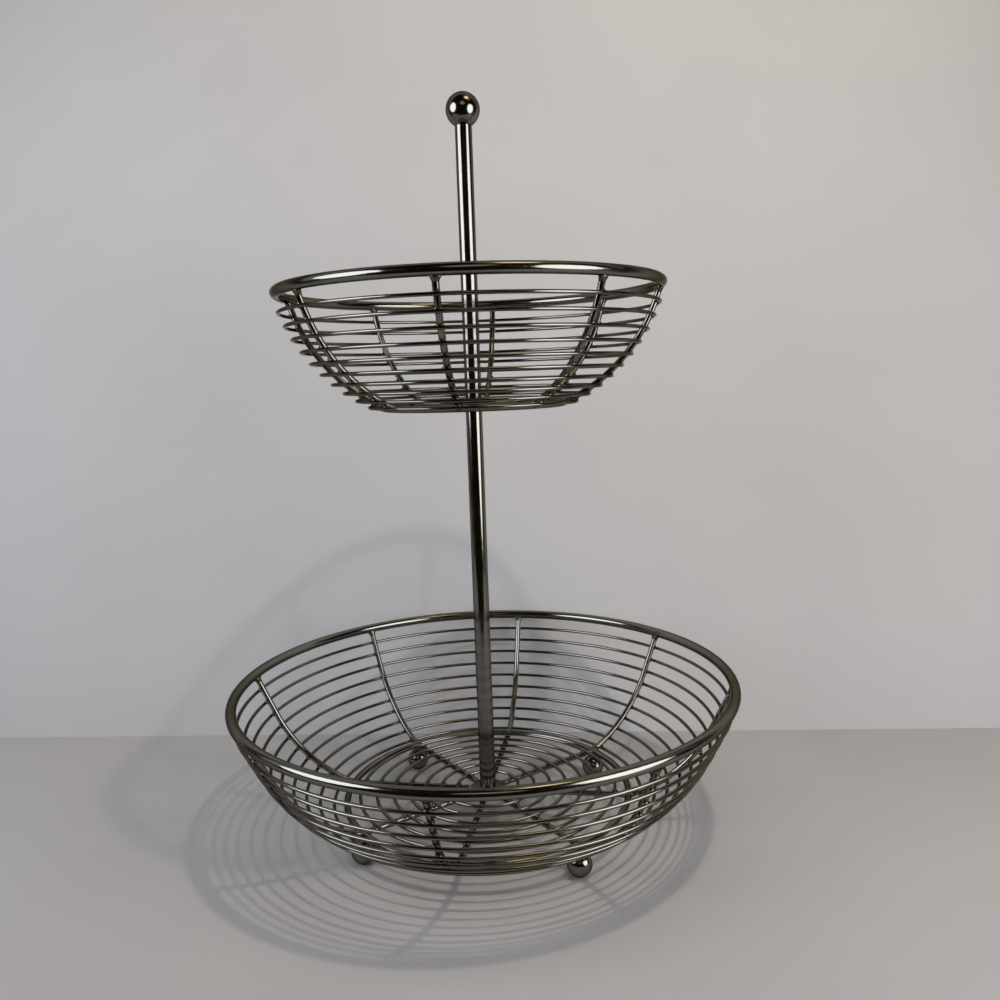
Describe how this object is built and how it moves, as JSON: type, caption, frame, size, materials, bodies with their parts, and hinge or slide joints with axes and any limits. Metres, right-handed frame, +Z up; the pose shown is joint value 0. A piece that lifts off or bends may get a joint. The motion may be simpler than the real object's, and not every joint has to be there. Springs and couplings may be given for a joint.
{
  "type": "tiered wire basket",
  "caption": "Wire fruit basket with a large lower bowl and a small upper bowl on one centre post, with a ball on top and ball feet below.",
  "frame": {"origin": "on the ground, under the axis of the post", "axes": "+Z up along the post; +X over the first rib of the lower basket, halfway between two feet"},
  "size_m": [0.3, 0.3, 0.4242],
  "materials": {
    "bottom_ring_wire": "dark polished nickel plating",
    "feet": "dark polished nickel plating",
    "finial": "dark polished nickel plating",
    "hub": "dark polished nickel plating",
    "post": "dark polished nickel plating",
    "rib_wire": "dark polished nickel plating",
    "rim_wire": "dark polished nickel plating",
    "screw": "plain steel",
    "thin_wire": "dark polished nickel plating"
  },
  "bodies": {
    "root": {"bottom_screw": "screw", "finial": "finial", "foot_1": "feet", "foot_2": "feet", "foot_3": "feet", "foot_4": "feet", "lower_bottom_ring": "bottom_ring_wire", "lower_floor_rings": "thin_wire", "lower_floor_spokes": "rib_wire", "lower_hub": "hub", "lower_post": "post", "lower_rib_1": "rib_wire", "lower_rib_2": "rib_wire", "lower_rib_3": "rib_wire", "lower_rib_4": "rib_wire", "lower_rib_5": "rib_wire", "lower_rib_6": "rib_wire", "lower_rib_7": "rib_wire", "lower_rib_8": "rib_wire", "lower_rim": "rim_wire", "lower_wall_ring_1": "thin_wire", "lower_wall_ring_10": "thin_wire", "lower_wall_ring_2": "thin_wire", "lower_wall_ring_3": "thin_wire", "lower_wall_ring_4": "thin_wire", "lower_wall_ring_5": "thin_wire", "lower_wall_ring_6": "thin_wire", "lower_wall_ring_7": "thin_wire", "lower_wall_ring_8": "thin_wire", "lower_wall_ring_9": "thin_wire", "upper_bottom_ring": "bottom_ring_wire", "upper_floor_rings": "thin_wire", "upper_floor_spokes": "rib_wire", "upper_hub": "hub", "upper_post": "post", "upper_rib_1": "rib_wire", "upper_rib_2": "rib_wire", "upper_rib_3": "rib_wire", "upper_rib_4": "rib_wire", "upper_rib_5": "rib_wire", "upper_rib_6": "rib_wire", "upper_rib_7": "rib_wire", "upper_rib_8": "rib_wire", "upper_rim": "rim_wire", "upper_wall_ring_1": "thin_wire", "upper_wall_ring_10": "thin_wire", "upper_wall_ring_2": "thin_wire", "upper_wall_ring_3": "thin_wire", "upper_wall_ring_4": "thin_wire", "upper_wall_ring_5": "thin_wire", "upper_wall_ring_6": "thin_wire", "upper_wall_ring_7": "thin_wire", "upper_wall_ring_8": "thin_wire", "upper_wall_ring_9": "thin_wire"}
  },
  "joints": []
}
